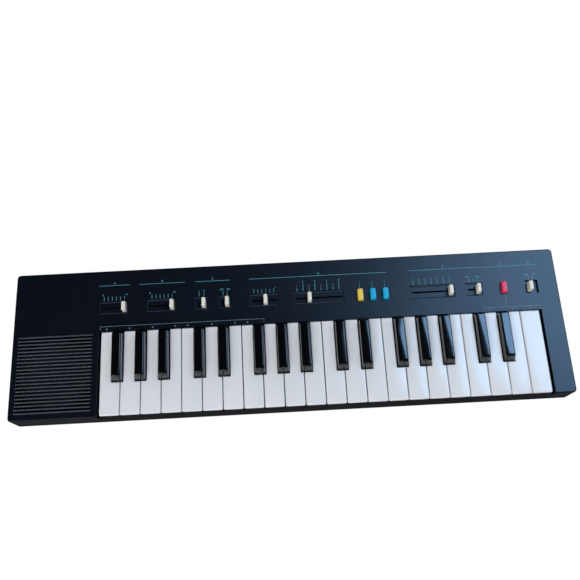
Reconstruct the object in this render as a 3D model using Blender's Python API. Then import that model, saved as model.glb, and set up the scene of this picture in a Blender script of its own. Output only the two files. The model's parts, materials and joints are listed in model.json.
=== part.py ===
"""Portable keyboard with 37 small keys: a moulded housing, hinged keys, sliders, buttons and inner parts.

Lengths are metres and +Z is up. The origin lies on the table under the middle of the housing. The player sits
at -Y and the low notes are at -X. Every piece is drawn in place, and each moving piece has its origin on its
own axis.
"""

import math

import bmesh
import bpy
from mathutils import Matrix, Vector

# Gaps that pieces keep from one another
CLEARANCE = 0.0003  # between pieces that touch on the real object
OVERLAP = 0.0010  # how far a tool reaches past the face that it cuts or joins
MERGE_DISTANCE = 0.000002  # points this close after a cut are one point

# Housing
CASE_WIDTH = 0.5510
CASE_DEPTH = 0.1502
PANEL_HEIGHT = 0.0340  # table to the top of the control panel
PANEL_THICKNESS = 0.0024
WALL = 0.0024
FLOOR_THICKNESS = 0.0024
CORNER_RADIUS = 0.0035  # of the housing seen from above
CORNER_STEPS = 3
TOP_EDGE_RADIUS = 0.0010
BASE_EDGE_RADIUS = 0.0045
PARTING_HEIGHT = 0.0130  # table to the joint between the two case halves
PARTING_GAP = 0.0004
LIP_HEIGHT = 0.0020  # half-lap inside the joint
LIP_THICKNESS = 0.0011
FOOT_HEIGHT = 0.0016
FOOT_RADIUS = 0.0070
FOOT_INSET_X = 0.0300
FOOT_INSET_Y = 0.0210

# Keys
LEFT_MARGIN = 0.0877  # left side of the housing to the first key's space
KEY_GROUPS = (4, 3, 4, 3, 4, 3, 1)  # white keys from F to B and from C to E, with one F left over
KEY_PITCH = 0.0200
KEY_GAP = 0.0009
KEY_WELL_DEPTH = 0.0855  # front of the housing to the panel's edge behind the keys
WELL_SIDE_GAP = 0.0025
KEY_WALL = 0.0013
KEY_TOP_THICKNESS = 0.0018
KEY_HEIGHT = 0.0140  # top of a white key to the lower rim of its walls
WHITE_RISE = 0.0005  # white tops above the panel
WHITE_FRONT_INSET = 0.0012
WHITE_REAR_GAP = 0.0009
WHITE_CORNER_RADIUS = 0.0013
WHITE_EDGE = 0.0006
WHITE_NOSE = 0.0015  # how far the top stands out over the front wall
WHITE_NOSE_THICKNESS = 0.0023
BLACK_WIDTH = 0.0104
BLACK_LENGTH = 0.0482
BLACK_REAR_GAP = 0.0032
BLACK_RISE = 0.0090  # black tops above the white ones
BLACK_FRONT_SLOPE = 0.0036
BLACK_SIDE_SLOPE = 0.0008
BLACK_EDGE = 0.0009

# Key hinge and what limits a key's stroke
HINGE_SETBACK = 0.0086  # panel's edge to the hinge line
HINGE_HEIGHT = 0.0240
KEY_SWING = 3.0  # degrees
FULCRUM_RADIUS = 0.0015
FULCRUM_WALL = 0.0014
FULCRUM_STEPS = 6
TAIL_WIDTH = 0.0076
TAIL_GRIP = 0.0018  # plastic round the fulcrum on either side
STOP_RIB_DEPTH = 0.0007
STOP_RIB_WIDTH = 0.0026

# Key frame, contact strip and contact board
FRAME_HEIGHT = 0.0110
FRAME_THICKNESS = 0.0020
FRAME_MARGIN = 0.0009
GUIDE_WIDTH = 0.0030
GUIDE_LENGTH = 0.0050
GUIDE_SETBACK = 0.0110  # front of a white key to the middle of its guide post
BLACK_GUIDE_SETBACK = 0.0046
CONTACT_REACH = 0.0430  # hinge line to the row of contacts
CONTACT_BOARD_DEPTH = 0.0180
CONTACT_STRIP_DEPTH = 0.0130
CONTACT_STRIP_THICKNESS = 0.0008
BOARD_THICKNESS = 0.0016
DOME_RADIUS = 0.0030
DOME_TOP_RADIUS = 0.0019
PUSHER_WIDTH = 0.0030
PUSHER_LENGTH = 0.0050
PUSHER_DROP = 0.0130  # top of a white key to the lower end of its pusher

# Front rail of the lower case
RAIL_HEIGHT = 0.0260
RAIL_THICKNESS = 0.0019

# Control row: name, first and last detent along X, number of detents, and the rest place as a share of the way
# from the first detent to the last
CONTROL_ROW_Y = 0.0351
SLIDERS = (
    ("master_volume_slider", -0.1859, -0.1653, 6, 1.0),
    ("accompaniment_volume_slider", -0.1375, -0.1170, 6, 1.0),
    ("variation_switch", -0.0897, -0.0849, 2, 1.0),
    ("chord_switch", -0.0653, -0.0613, 2, 1.0),
    ("tempo_slider", -0.0340, -0.0138, 6, 0.57),
    ("rhythm_selector", 0.0100, 0.0528, 8, 2 / 7),
    ("orchestra_selector", 0.1286, 0.1658, 7, 1.0),
    ("sustain_switch", 0.1858, 0.1939, 3, 1.0),
    ("power_switch", 0.2469, 0.2509, 2, 0.0),
)
POCKET_MARGIN = 0.0043
POCKET_LENGTH = 0.0138
POCKET_DEPTH = 0.0012
POWER_WELL_DEPTH = 0.0030
POWER_WELL_FLOOR = 0.0014
SLOT_WIDTH = 0.0016
CAP_WIDTH = 0.0044
CAP_LENGTH = 0.0097
CAP_RISE = 0.0065
CAP_CORNER = 0.0008
CAP_DRAFT = 0.0003
CAP_EDGE = 0.0005
LEVER_WIDTH = 0.0030
LEVER_THICKNESS = 0.0010
BUTTONS = (
    ("stop_button", 0.0737, "yellow"),
    ("sync_start_button", 0.0866, "blue"),
    ("start_button", 0.0995, "blue"),
    ("melody_button", 0.2200, "red"),
)
BUTTON_WIDTH = 0.0060
BUTTON_LENGTH = 0.0122
BUTTON_RISE = 0.0048
BUTTON_TRAVEL = 0.0016
BUTTON_CORNER = 0.0009
BUTTON_DRAFT = 0.0003
BUTTON_EDGE = 0.0007
BUTTON_FLANGE = 0.0011
BUTTON_FLANGE_THICKNESS = 0.0010

# Control board behind the panel
BOARD_HEIGHT = 0.0216
BOARD_FRONT = 0.0250
BOARD_DEPTH = 0.0350
BOARD_LEFT = -0.1950
BOARD_RIGHT = 0.2590
CAN_HEIGHT = 0.0040
CAN_WIDTH = 0.0076
CAN_MARGIN = 0.0045
CHIP_SIZE = (0.0500, 0.0130, 0.0034)
CHIP_X = -0.0550
CHIP_Y = 0.0500

# Panel supports
POST_RADIUS = 0.0028
POST_Y = 0.0540
POST_PLACES = (-0.1800, -0.0970, 0.0040, 0.0900, 0.1815, 0.2520)
PANEL_RIB_WIDTH = 0.0012
PANEL_RIB_DEPTH = 0.0020
PANEL_RIB_PLACES = (-0.1516, -0.1032, -0.0480, -0.0020, 0.0650, 0.1120, 0.1762, 0.2070, 0.2340)
BOSS_RADIUS = 0.0036
BOSS_PLACES = (
    (-0.2640, 0.0655), (-0.1870, 0.0655), (0.0030, 0.0655), (0.1300, 0.0655), (0.2640, 0.0655),
    (-0.2660, -0.0655), (0.2640, -0.0655),
)
SCREW_RADIUS = 0.0014
SCREW_HEAD_RADIUS = 0.0031
SCREW_HEAD_DEPTH = 0.0062
STANDOFF_RADIUS = 0.0032
STANDOFF_PLACES = tuple((x, y) for x in (-0.165, -0.055, 0.055, 0.165, 0.240) for y in (-0.056, 0.004))
ROUND_STEPS = 8

# Speaker and its grille
GRILLE_RIBS = 22
GRILLE_PITCH = 0.0036
GRILLE_WIDTH = 0.0732
GRILLE_INSET_X = 0.0426  # left side of the housing to the middle of the grille
GRILLE_INSET_Y = 0.0451  # front of the housing to the middle of the grille
GRILLE_RIB_WIDTH = 0.0014
GRILLE_RIB_RISE = 0.0005
SPEAKER_RADIUS = 0.0345
SPEAKER_DEPTH = 0.0180
SPEAKER_TOP_GAP = 0.0012
MAGNET_RADIUS = 0.0165
MAGNET_HEIGHT = 0.0070
SPEAKER_RING = 0.0012
SPEAKER_STEPS = 24

# Battery bay for six small cells in two rows, with its sliding cover
CELL_LENGTH = 0.0505
CELL_DIAMETER = 0.0145
CELLS_IN_ROW = 3
ROWS_OF_CELLS = 2
BAY_END_ROOM = 0.0065
BAY_SIDE_ROOM = 0.0020
BAY_LEFT = -0.1700
BAY_FRONT = 0.0360
BAY_WALL = 0.0016
COVER_THICKNESS = 0.0018
COVER_TONGUE = 0.0012  # side tongues of the cover, which run in grooves
COVER_TONGUE_THICKNESS = 0.0006
COVER_BORDER = 0.0045
GRIP_RIDGES = 5
GRIP_PITCH = 0.0028
GRIP_WIDTH = 0.0012
GRIP_LENGTH = 0.0240
GRIP_RISE = 0.0006
CONTACT_PLATE = 0.0005

# Jack block in the rear wall
JACK_BLOCK_CENTRE = 0.2225
JACK_BLOCK_SIZE = (0.0340, 0.0118, 0.0120)
JACK_BLOCK_HEIGHT = 0.0158  # table to the underside of the block
JACK_NOSE_INSET = 0.0015
JACK_PITCH = 0.0160
JACK_RADIUS = 0.0033
JACK_BORE_DEPTH = 0.0120
JACK_STEPS = 12

# Places that follow from the sizes above
FRONT = -CASE_DEPTH / 2
REAR = CASE_DEPTH / 2
LEFT = -CASE_WIDTH / 2
RIGHT = CASE_WIDTH / 2
PANEL_UNDERSIDE = PANEL_HEIGHT - PANEL_THICKNESS
FLOOR_TOP = FOOT_HEIGHT + FLOOR_THICKNESS
GRILLE_CENTRE = (LEFT + GRILLE_INSET_X, FRONT + GRILLE_INSET_Y)
WHITE_COUNT = sum(KEY_GROUPS)
KEYS_LEFT = LEFT + LEFT_MARGIN
WELL_LEFT = KEYS_LEFT - WELL_SIDE_GAP
WELL_RIGHT = KEYS_LEFT + WHITE_COUNT * KEY_PITCH + WELL_SIDE_GAP
WELL_REAR = FRONT + KEY_WELL_DEPTH
WHITE_TOP = PANEL_HEIGHT + WHITE_RISE
WHITE_FRONT = FRONT + WHITE_FRONT_INSET
WHITE_REAR = WELL_REAR - WHITE_REAR_GAP
BLACK_TOP = WHITE_TOP + BLACK_RISE
BLACK_REAR = WELL_REAR - BLACK_REAR_GAP
BLACK_FRONT = BLACK_REAR - BLACK_LENGTH
KEY_BOTTOM = WHITE_TOP - KEY_HEIGHT
HINGE_Y = WELL_REAR + HINGE_SETBACK
TAIL_TOP = PANEL_UNDERSIDE - STOP_RIB_DEPTH - CLEARANCE
TAIL_REAR = HINGE_Y + FULCRUM_RADIUS + CLEARANCE + TAIL_GRIP
CONTACT_Y = HINGE_Y - CONTACT_REACH
FRAME_TOP = FRAME_HEIGHT + FRAME_THICKNESS
CONTACT_BOARD_TOP = FRAME_TOP + CLEARANCE + BOARD_THICKNESS
STRIP_BOTTOM = CONTACT_BOARD_TOP + CLEARANCE
PUSHER_BOTTOM = WHITE_TOP - PUSHER_DROP
DOME_TOP = PUSHER_BOTTOM - CONTACT_REACH * math.sin(math.radians(KEY_SWING)) - 2 * CLEARANCE
BOARD_TOP = BOARD_HEIGHT + BOARD_THICKNESS
CAN_TOP = BOARD_TOP + CAN_HEIGHT
BAY_LENGTH = CELLS_IN_ROW * CELL_LENGTH + BAY_END_ROOM
BAY_DEPTH = ROWS_OF_CELLS * CELL_DIAMETER + BAY_SIDE_ROOM
BAY_RIGHT = BAY_LEFT + BAY_LENGTH
BAY_REAR = BAY_FRONT + BAY_DEPTH
COVER_TOP = FOOT_HEIGHT + COVER_THICKNESS
BAY_TOP = COVER_TOP + CLEARANCE + CELL_DIAMETER


# Outlines

def arc(centre, radius, start, end, steps):
    """Points along an arc, with its angles in degrees."""
    angles = [math.radians(start + (end - start) * i / steps) for i in range(steps + 1)]
    return [(centre[0] + radius * math.cos(a), centre[1] + radius * math.sin(a)) for a in angles]


def rectangle(x0, x1, y0, y1):
    return [(x0, y0), (x1, y0), (x1, y1), (x0, y1)]


def rounded_rectangle(x0, x1, y0, y1, radius, steps):
    near, far = y0 + radius, y1 - radius
    centres = ((x1 - radius, far), (x0 + radius, far), (x0 + radius, near), (x1 - radius, near))
    points = []
    for quarter, centre in enumerate(centres):
        points += arc(centre, radius, 90 * quarter, 90 * quarter + 90, steps)
    return points


def circle(centre, radius, steps=ROUND_STEPS):
    return arc(centre, radius, 0, 360, steps)[:-1]


def case_outline(inset):
    """The housing seen from above, drawn in by the given amount."""
    radius = max(CORNER_RADIUS - inset, CORNER_RADIUS / 6)
    return rounded_rectangle(LEFT + inset, RIGHT - inset, FRONT + inset, REAR - inset, radius, CORNER_STEPS)


def level(outline, z):
    """Lays an outline of X and Y at a height."""
    return [(x, y, z) for x, y in outline]


def standing(profile, x):
    """Stands a profile of Y and Z at a place along X."""
    return [(x, y, z) for y, z in profile]


# Solids

def add_loft(form, rings):
    """Adds a closed skin through rings that have the same number of points, with flat ends."""
    loops = [[form.verts.new(point) for point in ring] for ring in rings]
    for near, far in zip(loops, loops[1:]):
        for i, vert in enumerate(near):
            j = (i + 1) % len(near)
            form.faces.new((vert, near[j], far[j], far[i]))
    form.faces.new(loops[0])
    form.faces.new(loops[-1])


def add_prism(form, outline, low, high):
    add_loft(form, [level(outline, low), level(outline, high)])


def add_bar(form, profile, x0, x1):
    """Adds a profile of Y and Z drawn along X."""
    add_loft(form, [standing(profile, x0), standing(profile, x1)])


def add_turned(form, profile, centre, steps, closed):
    """Adds a turned solid from a profile of radius and height. A closed profile makes a ring."""
    loops = []
    for radius, z in profile:
        points = [(x, y, z) for x, y in circle(centre, radius, steps)] if radius > 0 else [(*centre, z)]
        loops.append([form.verts.new(point) for point in points])
    pairs = list(zip(loops, loops[1:])) + ([(loops[-1], loops[0])] if closed else [])
    for near, far in pairs:
        for i in range(steps):
            j = (i + 1) % steps
            corners = [near[i % len(near)], near[j % len(near)], far[j % len(far)], far[i % len(far)]]
            form.faces.new(list(dict.fromkeys(corners)))


def make_object(name, form, material=None):
    bmesh.ops.recalc_face_normals(form, faces=form.faces[:])
    mesh = bpy.data.meshes.new(name)
    form.to_mesh(mesh)
    form.free()
    item = bpy.data.objects.new(name, mesh)
    bpy.context.scene.collection.objects.link(item)
    if material is not None:
        mesh.materials.append(material)
    return item


def reshape(item, operation, form):
    """Cuts a form from the item, joins it on or keeps what they share, as the item's own mesh."""
    tool = make_object(item.name + "_tool", form)
    tool.hide_render = True
    tool.display_type = "WIRE"
    change = item.modifiers.new(operation, "BOOLEAN")
    change.operation = operation
    change.solver = "EXACT"
    change.object = tool
    graph = bpy.context.evaluated_depsgraph_get()
    mesh = bpy.data.meshes.new_from_object(item.evaluated_get(graph))
    item.modifiers.remove(change)
    item.data = mesh
    mesh.name = item.name
    bpy.data.objects.remove(tool)
    form = bmesh.new()
    form.from_mesh(mesh)
    bmesh.ops.remove_doubles(form, verts=form.verts[:], dist=MERGE_DISTANCE)
    form.to_mesh(mesh)
    form.free()


def settle(item, origin, parent):
    """Puts the item's origin at a point without moving its surface, and hangs it on its parent."""
    item.data.transform(Matrix.Translation(-Vector(origin)))
    item.parent = parent
    item.location = Vector(origin) - parent.location
    item.data.shade_smooth()
    item.data.set_sharp_from_angle(angle=math.radians(32))


def make_empty(name, location, parent=None):
    item = bpy.data.objects.new(name, None)
    item.empty_display_size = 0.01
    bpy.context.scene.collection.objects.link(item)
    item.location = location
    item.parent = parent
    return item


# Materials

def from_srgb(code):
    """A colour such as 1A2230 as the linear values that a shader takes."""
    parts = [int(code[i:i + 2], 16) / 255 for i in (0, 2, 4)]
    return [c / 12.92 if c <= 0.04045 else ((c + 0.055) / 1.055) ** 2.4 for c in parts] + [1.0]


def make_material(name, code, roughness, metallic=0.0):
    material = bpy.data.materials.new(name)
    material.use_nodes = True
    shader = material.node_tree.nodes["Principled BSDF"]
    shader.inputs["Base Color"].default_value = from_srgb(code)
    shader.inputs["Roughness"].default_value = roughness
    shader.inputs["Metallic"].default_value = metallic
    material.diffuse_color = from_srgb(code)
    return material


def make_materials():
    return {
        "case": make_material("navy_black_moulded_plastic", "141B29", 0.42),
        "white_key": make_material("white_key_plastic", "DDE2EA", 0.30),
        "black_key": make_material("black_key_plastic", "08090C", 0.18),
        "cap": make_material("cream_cap_plastic", "E8E6DA", 0.40),
        "yellow": make_material("yellow_button_plastic", "F0CE58", 0.38),
        "blue": make_material("blue_button_plastic", "16AEDA", 0.38),
        "red": make_material("red_button_plastic", "DE3A58", 0.38),
        "frame": make_material("grey_frame_plastic", "3A3D42", 0.55),
        "rubber": make_material("grey_contact_rubber", "55585C", 0.75),
        "board": make_material("brown_paper_laminate", "7A5A34", 0.60),
        "paper": make_material("black_speaker_paper", "1A1A1C", 0.85),
        "jack": make_material("black_jack_plastic", "111214", 0.50),
        "spring_steel": make_material("nickel_plated_steel", "C4C2BC", 0.30, 1.0),
    }


# Key plan

def key_plan():
    """Gives each white key's left side and the black keys' centre lines.

    A group of keys shares its width equally among the rear ends of its white and black keys.
    """
    whites, blacks = [], []
    left = KEYS_LEFT
    for count in KEY_GROUPS:
        section = count * KEY_PITCH / (2 * count - 1)
        whites += [left + i * KEY_PITCH for i in range(count)]
        blacks += [left + (2 * i + 1.5) * section for i in range(count - 1)]
        left += count * KEY_PITCH
    return whites, blacks


def white_sides(left, blacks):
    """A white key's sides at the front and, beside the black keys, at the rear."""
    x0, x1 = left + KEY_GAP / 2, left + KEY_PITCH - KEY_GAP / 2
    half_slot = BLACK_WIDTH / 2 + KEY_GAP * 0.8
    rear0 = max([x0] + [b + half_slot for b in blacks if abs(b - left) < KEY_PITCH / 4])
    rear1 = min([x1] + [b - half_slot for b in blacks if abs(b - left - KEY_PITCH) < KEY_PITCH / 4])
    return x0, x1, rear0, rear1


def white_outline(sides, inset, front, radius):
    """A white key seen from above, notched for its black neighbours and rounded at its front corners."""
    x0, x1, rear0, rear1 = sides
    notch = BLACK_FRONT - KEY_GAP * 0.7 - inset
    left, right = x0 + inset, x1 - inset
    low, high = front + inset, WHITE_REAR - inset
    points = arc((left + radius, low + radius), radius, 180, 270, 2) if radius > 0 else [(left, low)]
    points += arc((right - radius, low + radius), radius, 270, 360, 2) if radius > 0 else [(right, low)]
    if rear1 < x1:
        points += [(right, notch), (rear1 - inset, notch)]
    points += [(rear1 - inset, high), (rear0 + inset, high)]
    if rear0 > x0:
        points += [(rear0 + inset, notch), (left, notch)]
    return points


def tail_profile(front):
    """Side view of a key's tail, whose open half round sits over the fulcrum."""
    bearing = FULCRUM_RADIUS + CLEARANCE
    lower = HINGE_HEIGHT - FULCRUM_RADIUS
    saddle = arc((HINGE_Y, HINGE_HEIGHT), bearing, 0, 180, 4)
    return (
        [(front, TAIL_TOP), (front, lower - TAIL_GRIP)]
        + [(HINGE_Y - bearing - 2 * TAIL_GRIP, lower - TAIL_GRIP)]
        + [(HINGE_Y - bearing - TAIL_GRIP / 2, HINGE_HEIGHT)]
        + saddle[::-1]
        + [(TAIL_REAR, HINGE_HEIGHT), (TAIL_REAR, TAIL_TOP)]
    )


def add_tail(item, centre, front):
    form = bmesh.new()
    add_bar(form, tail_profile(front), centre - TAIL_WIDTH / 2, centre + TAIL_WIDTH / 2)
    reshape(item, "UNION", form)


def add_pusher(item, centre, ceiling):
    """Joins on the post that presses the key's contact."""
    form = bmesh.new()
    half_x, half_y = PUSHER_WIDTH / 2, PUSHER_LENGTH / 2
    outline = rectangle(centre - half_x, centre + half_x, CONTACT_Y - half_y, CONTACT_Y + half_y)
    add_prism(form, outline, PUSHER_BOTTOM, ceiling + KEY_TOP_THICKNESS / 2)
    reshape(item, "UNION", form)


def make_white_key(name, sides, material):
    """A hollow white key: walls, a top with a nose over the front wall, a pusher and a tail."""
    wall_front = WHITE_FRONT + WHITE_NOSE
    nose_low = WHITE_TOP - WHITE_NOSE_THICKNESS
    radius = WHITE_CORNER_RADIUS
    form = bmesh.new()
    add_loft(form, [
        level(white_outline(sides, 0, wall_front, radius), KEY_BOTTOM),
        level(white_outline(sides, 0, wall_front, radius), nose_low - WHITE_NOSE / 2),
        level(white_outline(sides, 0, WHITE_FRONT, radius), nose_low),
        level(white_outline(sides, 0, WHITE_FRONT, radius), WHITE_TOP - WHITE_EDGE),
        level(white_outline(sides, WHITE_EDGE, WHITE_FRONT, radius - WHITE_EDGE / 2), WHITE_TOP),
    ])
    item = make_object(name, form, material)
    form = bmesh.new()
    ceiling = WHITE_TOP - KEY_TOP_THICKNESS
    add_prism(form, white_outline(sides, KEY_WALL, wall_front, 0), KEY_BOTTOM - OVERLAP, ceiling)
    reshape(item, "DIFFERENCE", form)
    centre = (sides[2] + sides[3]) / 2
    add_pusher(item, centre, ceiling)
    add_tail(item, centre, WHITE_REAR - KEY_WALL / 2)
    return item


def black_outline(centre, inset, front_inset, rear_inset):
    half = BLACK_WIDTH / 2 - inset
    radius = BLACK_EDGE
    y0, y1 = BLACK_FRONT + front_inset, BLACK_REAR - rear_inset
    return rounded_rectangle(centre - half, centre + half, y0, y1, radius, 2)


def make_black_key(name, centre, material):
    """A hollow black key with leaning sides, a sloped front and rounded upper edges."""
    shoulder = BLACK_TOP - BLACK_EDGE
    share = (shoulder - WHITE_TOP) / BLACK_RISE
    side, slope = BLACK_SIDE_SLOPE * share, BLACK_FRONT_SLOPE * share
    form = bmesh.new()
    add_loft(form, [
        level(black_outline(centre, 0, 0, 0), KEY_BOTTOM),
        level(black_outline(centre, 0, 0, 0), WHITE_TOP),
        level(black_outline(centre, side, slope, side / 2), shoulder),
        level(black_outline(
            centre, side + BLACK_EDGE, slope + 1.8 * BLACK_EDGE, side / 2 + BLACK_EDGE), BLACK_TOP),
    ])
    item = make_object(name, form, material)
    half = BLACK_WIDTH / 2 - KEY_WALL
    ceiling = BLACK_TOP - KEY_TOP_THICKNESS - BLACK_EDGE
    inner = [
        rectangle(centre - h, centre + h, BLACK_FRONT + KEY_WALL + f, BLACK_REAR - KEY_WALL - r)
        for h, f, r in ((half, 0, 0), (half, 0, 0), (half - side, slope, side))
    ]
    form = bmesh.new()
    heights = (KEY_BOTTOM - OVERLAP, WHITE_TOP, ceiling)
    add_loft(form, [level(outline, z) for outline, z in zip(inner, heights)])
    reshape(item, "DIFFERENCE", form)
    add_pusher(item, centre, ceiling)
    add_tail(item, centre, BLACK_REAR - KEY_WALL / 2)
    return item


def make_keys(materials, parent):
    whites, blacks = key_plan()
    for number, left in enumerate(whites, 1):
        sides = white_sides(left, blacks)
        item = make_white_key(f"white_key_{number:02d}", sides, materials["white_key"])
        settle(item, ((sides[2] + sides[3]) / 2, HINGE_Y, HINGE_HEIGHT), parent)
    for number, centre in enumerate(blacks, 1):
        item = make_black_key(f"black_key_{number:02d}", centre, materials["black_key"])
        settle(item, (centre, HINGE_Y, HINGE_HEIGHT), parent)


def key_middles():
    """Middle lines of all keys at the row of contacts, from left to right."""
    whites, blacks = key_plan()
    middles = [sum(white_sides(left, blacks)[2:]) / 2 for left in whites] + blacks
    return sorted(middles)


# Key frame and contacts

def fulcrum_profile():
    """Side view of the wall that carries the fulcrum bead, with the bead as its rounded top."""
    half = FULCRUM_WALL / 2
    dip = math.degrees(math.asin(half / FULCRUM_RADIUS))
    bead = arc((HINGE_Y, HINGE_HEIGHT), FULCRUM_RADIUS, -90 + dip, 270 - dip, FULCRUM_STEPS)
    base = FRAME_TOP - FRAME_THICKNESS / 2
    return [(HINGE_Y - half, base), (HINGE_Y + half, base)] + bead


def add_guides(form):
    """Adds the posts that stand in the hollow of each key and, under the white ones, end its stroke."""
    whites, blacks = key_plan()
    base = FRAME_TOP - FRAME_THICKNESS / 2
    swing = math.sin(math.radians(KEY_SWING))
    rows = [(left + KEY_PITCH / 2, WHITE_FRONT + GUIDE_SETBACK, WHITE_TOP) for left in whites]
    rows += [(centre, BLACK_FRONT + BLACK_GUIDE_SETBACK, WHITE_TOP) for centre in blacks]
    for x, y, top in rows:
        stroke = (HINGE_Y - y + GUIDE_LENGTH / 2) * swing
        outline = rectangle(
            x - GUIDE_WIDTH / 2, x + GUIDE_WIDTH / 2, y - GUIDE_LENGTH / 2, y + GUIDE_LENGTH / 2)
        add_prism(form, outline, base, top - KEY_TOP_THICKNESS - stroke - 2 * CLEARANCE)


def make_key_frame(material):
    x0, x1 = WELL_LEFT + FRAME_MARGIN, WELL_RIGHT - FRAME_MARGIN
    front, rear = FRONT + 2 * WALL, HINGE_Y + 3 * FRAME_THICKNESS
    form = bmesh.new()
    add_prism(form, rectangle(x0, x1, front, rear), FRAME_HEIGHT, FRAME_TOP)
    item = make_object("key_frame", form, material)
    form = bmesh.new()
    add_bar(form, fulcrum_profile(), x0 + FRAME_MARGIN, x1 - FRAME_MARGIN)
    reshape(item, "UNION", form)
    form = bmesh.new()
    add_guides(form)
    reshape(item, "UNION", form)
    form = bmesh.new()
    brace = [
        (HINGE_Y, FRAME_TOP - FRAME_THICKNESS / 2),
        (rear - FRAME_THICKNESS / 2, FRAME_TOP - FRAME_THICKNESS / 2),
        (HINGE_Y, HINGE_HEIGHT - 2 * FULCRUM_RADIUS),
    ]
    for i in range(0, WHITE_COUNT + 1, 4):
        x = KEYS_LEFT + i * KEY_PITCH
        add_bar(form, brace, x - FRAME_THICKNESS / 2, x + FRAME_THICKNESS / 2)
    reshape(item, "UNION", form)
    return item


def strip_plan(depth, margin):
    return rectangle(WELL_LEFT + margin, WELL_RIGHT - margin, CONTACT_Y - depth / 2, CONTACT_Y + depth / 2)


def make_contact_board(material):
    form = bmesh.new()
    plan = strip_plan(CONTACT_BOARD_DEPTH, 2 * FRAME_MARGIN)
    add_prism(form, plan, FRAME_TOP + CLEARANCE, CONTACT_BOARD_TOP)
    return make_object("key_contact_board", form, material)


def make_contact_strip(material):
    """One rubber strip with a dome under each key's pusher."""
    form = bmesh.new()
    top = STRIP_BOTTOM + CONTACT_STRIP_THICKNESS
    add_prism(form, strip_plan(CONTACT_STRIP_DEPTH, 3 * FRAME_MARGIN), STRIP_BOTTOM, top)
    item = make_object("key_contact_strip", form, material)
    form = bmesh.new()
    for x in key_middles():
        centre = (x, CONTACT_Y)
        add_loft(form, [
            level(circle(centre, DOME_RADIUS, 6), top - CONTACT_STRIP_THICKNESS / 2),
            level(circle(centre, DOME_TOP_RADIUS, 6), DOME_TOP),
        ])
    reshape(item, "UNION", form)
    return item


# Upper case

def case_inner_plan():
    """Plan of the room in the upper case: both cheeks and the space behind the keys."""
    x0, x1, y0, y1 = LEFT + WALL, RIGHT - WALL, FRONT + WALL, REAR - WALL
    inner0, inner1, step = WELL_LEFT - WALL, WELL_RIGHT + WALL, WELL_REAR - 2 * OVERLAP
    return [
        (x0, y0), (inner0, y0), (inner0, step), (inner1, step), (inner1, y0), (x1, y0), (x1, y1), (x0, y1)]


def slider_span(first, last, margin):
    return first - margin, last + margin


def add_panel_supports(form):
    """Adds the stop rib over the key tails, the stiffening ribs, the board posts and the screw bosses."""
    into = PANEL_UNDERSIDE + PANEL_THICKNESS / 3
    stop = rectangle(
        WELL_LEFT - OVERLAP, WELL_RIGHT + OVERLAP, WELL_REAR - OVERLAP, WELL_REAR + STOP_RIB_WIDTH)
    add_prism(form, stop, PANEL_UNDERSIDE - STOP_RIB_DEPTH, into)
    for x in PANEL_RIB_PLACES:
        half = PANEL_RIB_WIDTH / 2
        rib = rectangle(x - half, x + half, TAIL_REAR + OVERLAP, REAR - WALL / 2)
        add_prism(form, rib, PANEL_UNDERSIDE - PANEL_RIB_DEPTH, into)
    for x in POST_PLACES:
        add_prism(form, circle((x, POST_Y), POST_RADIUS), BOARD_TOP + CLEARANCE, into)
    for place in BOSS_PLACES:
        add_prism(form, circle(place, BOSS_RADIUS), PARTING_HEIGHT + PARTING_GAP, into)
    first, last = SLIDERS[-1][1:3]
    x0, x1 = slider_span(first, last, POCKET_MARGIN + WALL / 2)
    half = POCKET_LENGTH / 2 + WALL / 2
    floor = PANEL_HEIGHT - POWER_WELL_DEPTH - POWER_WELL_FLOOR
    add_prism(form, rectangle(x0, x1, CONTROL_ROW_Y - half, CONTROL_ROW_Y + half), floor, into)


def add_speaker_ring(form):
    """Adds the round wall that holds the speaker's rim."""
    inner = SPEAKER_RADIUS + CLEARANCE
    outer = inner + SPEAKER_RING
    low, high = PANEL_UNDERSIDE - 3 * SPEAKER_TOP_GAP, PANEL_UNDERSIDE + PANEL_THICKNESS / 3
    profile = [(inner, low), (outer, low), (outer, high), (inner, high)]
    add_turned(form, profile, GRILLE_CENTRE, SPEAKER_STEPS, True)


def grille_rows(count):
    """Places of the given number of rows along Y, centred on the grille."""
    return [GRILLE_CENTRE[1] + (i - (count - 1) / 2) * GRILLE_PITCH for i in range(count)]


def add_grille_ribs(form):
    """Adds the ribs' crowned tops, which stand a little above the panel."""
    half = GRILLE_RIB_WIDTH / 2
    x0, x1 = GRILLE_CENTRE[0] - GRILLE_WIDTH / 2, GRILLE_CENTRE[0] + GRILLE_WIDTH / 2
    for y in grille_rows(GRILLE_RIBS):
        crown = [(y - half, PANEL_HEIGHT - GRILLE_RIB_RISE), (y + half, PANEL_HEIGHT - GRILLE_RIB_RISE)]
        top = PANEL_HEIGHT + GRILLE_RIB_RISE
        crown += [(y + half / 2, top), (y - half / 2, top)]
        add_bar(form, crown, x0, x1)


def add_grille_slots(form):
    half = (GRILLE_PITCH - GRILLE_RIB_WIDTH) / 2
    x0, x1 = GRILLE_CENTRE[0] - GRILLE_WIDTH / 2, GRILLE_CENTRE[0] + GRILLE_WIDTH / 2
    for y in grille_rows(GRILLE_RIBS - 1):
        outline = rectangle(x0, x1, y - half, y + half)
        add_prism(form, outline, PANEL_UNDERSIDE - STOP_RIB_DEPTH, PANEL_HEIGHT + OVERLAP)


def add_slider_pockets(form):
    """Adds the shallow pockets that the caps run in. The power switch has a deeper one."""
    half = POCKET_LENGTH / 2
    for name, first, last, _, _ in SLIDERS:
        depth = POWER_WELL_DEPTH if name == "power_switch" else POCKET_DEPTH
        x0, x1 = slider_span(first, last, POCKET_MARGIN)
        outline = rectangle(x0, x1, CONTROL_ROW_Y - half, CONTROL_ROW_Y + half)
        add_prism(form, outline, PANEL_HEIGHT - depth, PANEL_HEIGHT + OVERLAP)


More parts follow.
